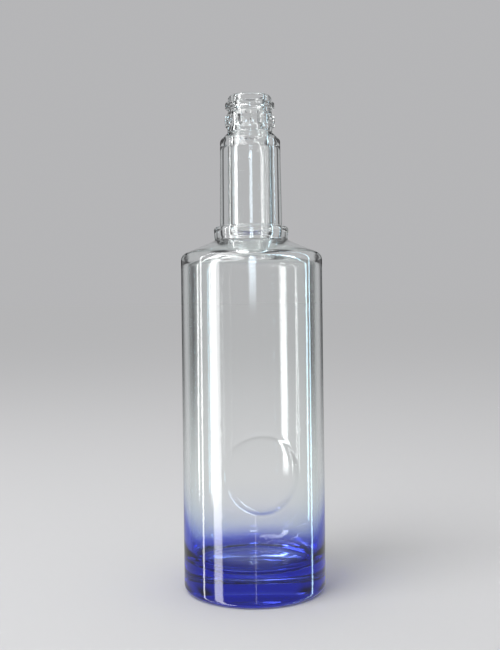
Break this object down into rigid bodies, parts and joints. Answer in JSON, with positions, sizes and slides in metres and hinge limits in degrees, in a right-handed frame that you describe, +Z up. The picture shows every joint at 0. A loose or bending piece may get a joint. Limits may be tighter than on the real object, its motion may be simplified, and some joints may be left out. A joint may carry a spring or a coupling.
{
  "type": "liquor bottle",
  "caption": "Round clear glass liquor bottle with a blue tinted foot, a round bowl pressed into its front, a collar, a slim neck and a toothed mouth for a closure.",
  "frame": {"origin": "on the bottle's axis, in the plane that the foot stands on", "axes": "+Z up along the bottle's axis to the mouth, -Y towards the front, where the round bowl is pressed into the wall"},
  "size_m": [0.08, 0.08, 0.2784],
  "materials": {
    "bottle_glass": "polished clear, foot lacquered in see-through blue"
  },
  "bodies": {
    "root": {"glass_bottle": "bottle_glass"}
  },
  "joints": []
}
